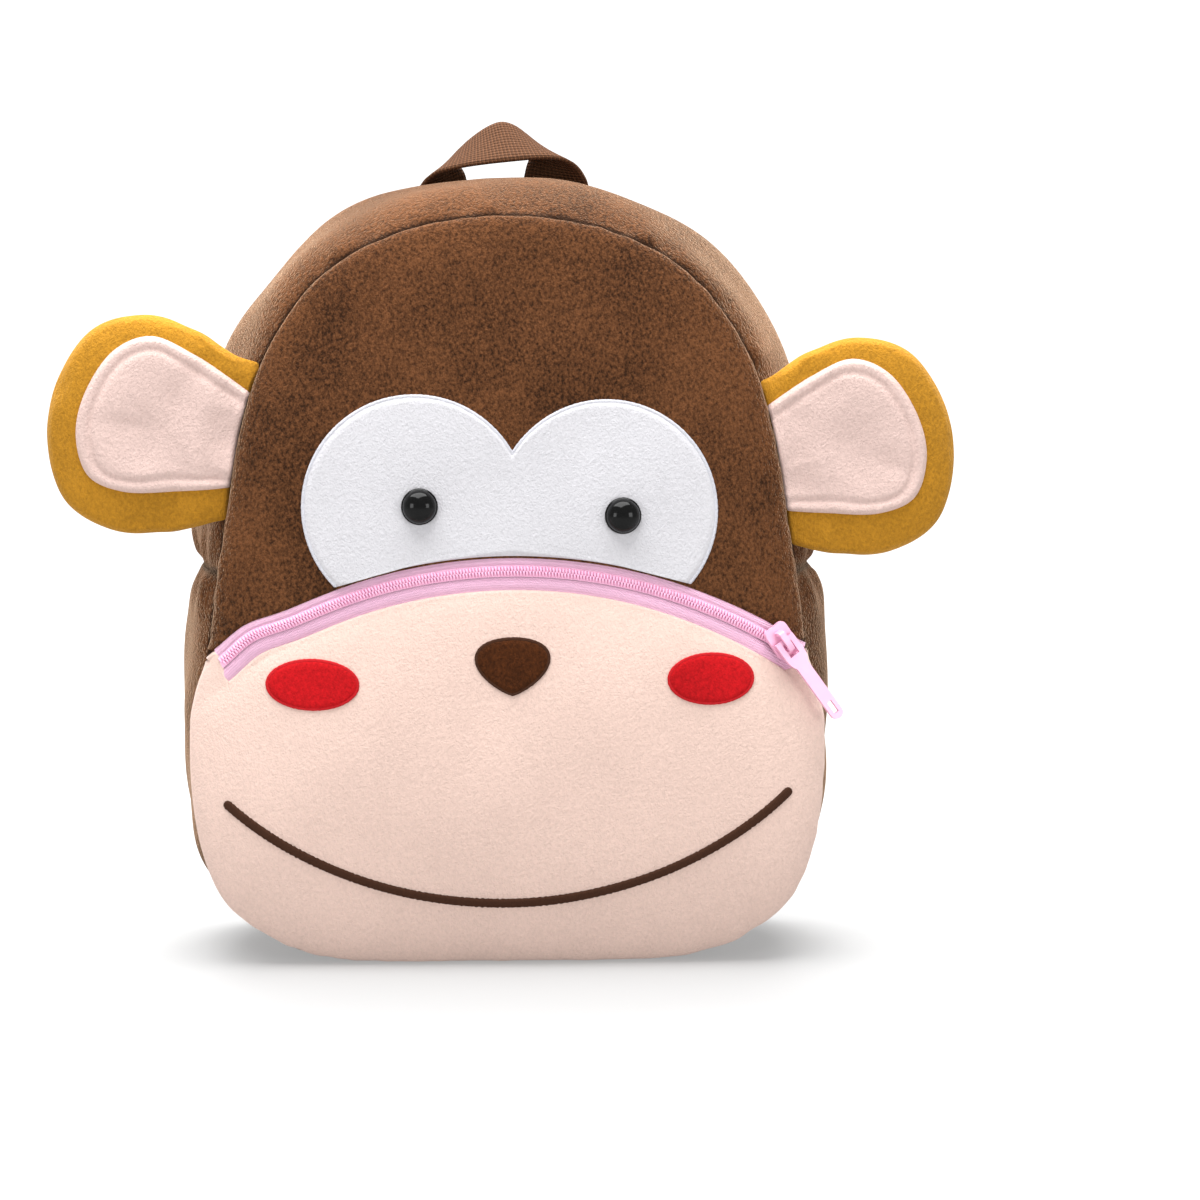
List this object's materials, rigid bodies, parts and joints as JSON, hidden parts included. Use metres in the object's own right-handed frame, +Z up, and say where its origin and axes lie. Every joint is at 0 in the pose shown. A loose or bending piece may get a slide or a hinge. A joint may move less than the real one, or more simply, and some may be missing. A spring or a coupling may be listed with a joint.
{
  "type": "plush animal backpack",
  "caption": "Small soft plush backpack shaped as a monkey's head, with a zipped front, stuffed ears, a webbing grab loop on top and padded shoulder straps with ladder-lock buckles.",
  "frame": {"origin": "on the floor under the middle of the bag's flat base", "axes": "+Z up, -Y the way the face looks, +X to the right of a person who looks at the face"},
  "size_m": [0.3008, 0.1257, 0.2789],
  "materials": {
    "brown_plush": "short brown plush",
    "peach_plush": "short pale peach plush",
    "mustard_plush": "short mustard plush",
    "blush_plush": "short pale pink plush",
    "white_plush": "short white plush",
    "red_plush": "short red plush",
    "cocoa_thread": "dark brown felt and satin stitch",
    "webbing": "ribbed dark brown webbing",
    "zip_tape": "woven pink tape",
    "zip_plastic": "moulded pink plastic",
    "buckle_plastic": "satin black",
    "bead": "polished black"
  },
  "bodies": {
    "bag": {"face_panel": "brown_plush", "muzzle_panel": "peach_plush", "gusset_upper": "brown_plush", "gusset_lower": "brown_plush", "back_panel": "brown_plush", "zip_tape_upper": "zip_tape", "zip_tape_lower": "zip_tape", "zip_coil": "zip_plastic", "zip_slider": "zip_plastic", "eye_patch": "white_plush", "eye_left": "bead", "eye_right": "bead", "cheek_left": "red_plush", "cheek_right": "red_plush", "nose": "cocoa_thread", "mouth": "cocoa_thread", "ear_left": "mustard_plush", "ear_right": "mustard_plush", "ear_panel_left": "blush_plush", "ear_panel_right": "blush_plush", "grab_loop": "webbing", "strap_left": "mustard_plush", "strap_right": "mustard_plush", "strap_tab_left": "webbing", "strap_tab_right": "webbing", "strap_webbing_left": "webbing", "strap_webbing_right": "webbing", "buckle_left": "buckle_plastic", "buckle_right": "buckle_plastic"},
    "pull": {"zip_pull": "zip_plastic"}
  },
  "joints": [
    {"name": "zip_pull_swing", "type": "hinge", "parent": "bag", "child": "pull", "pos_m": [0.09118, -0.04711, 0.10873], "axis": [-0.7742, -0.2901, -0.5625], "range_deg": [0, 162]}
  ]
}
